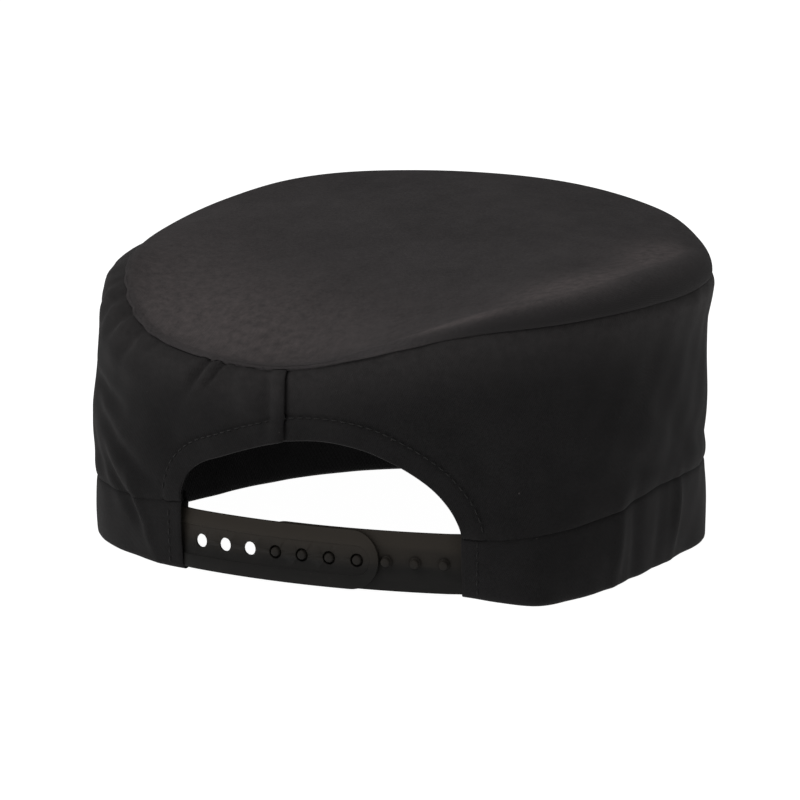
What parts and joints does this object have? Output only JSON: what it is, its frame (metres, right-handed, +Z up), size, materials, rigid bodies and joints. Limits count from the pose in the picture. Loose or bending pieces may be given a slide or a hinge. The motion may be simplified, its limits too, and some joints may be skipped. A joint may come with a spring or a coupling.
{
  "type": "chef skull cap",
  "caption": "Low pillbox chef's cap in black twill with a sloping flat crown, an open arch at the back and a plastic snap strap across it.",
  "frame": {"origin": "on the table plane, under the middle of the headband's outline", "axes": "+Z up through the crown, +Y towards the wearer's face, +X towards the wearer's right; the rear arch faces -Y"},
  "size_m": [0.194, 0.1719, 0.1088],
  "materials": {
    "crown_twill": "matte black cotton twill",
    "side_twill": "matte black cotton twill",
    "band_twill": "matte black cotton twill",
    "facing_twill": "matte black cotton twill",
    "seam_tape": "matte black woven tape",
    "interlining": "pale felt",
    "sweatband_cloth": "matte black towelling",
    "label_cloth": "blank pale satin tape",
    "strap_plastic": "matte black moulded polyethylene",
    "thread": "black polyester sewing thread"
  },
  "bodies": {
    "cap": {"crown_panel": "crown_twill", "side_panel": "side_twill", "crown_seam_tape": "seam_tape", "arch_facing": "facing_twill", "headband": "band_twill", "headband_interlining": "interlining", "sweatband": "sweatband_cloth", "care_label": "label_cloth", "hole_strap_tail": "strap_plastic", "peg_strap_tail": "strap_plastic", "arch_topstitch": "thread", "hole_strap_stitches": "thread", "peg_strap_stitches": "thread"},
    "hole_strap": {"hole_strap": "strap_plastic"},
    "peg_strap": {"peg_strap": "strap_plastic"}
  },
  "joints": [
    {"name": "hole_strap_flex", "type": "hinge", "parent": "cap", "child": "hole_strap", "pos_m": [-0.0474, -0.07865, 0.0107], "axis": [0, 0, -1], "range_deg": [0, 60], "stiffness_Nm_per_rad": 0.02},
    {"name": "peg_strap_flex", "type": "hinge", "parent": "cap", "child": "peg_strap", "pos_m": [0.0474, -0.0771, 0.0107], "axis": [0, 0, -1], "range_deg": [0, 40], "stiffness_Nm_per_rad": 0.02}
  ]
}
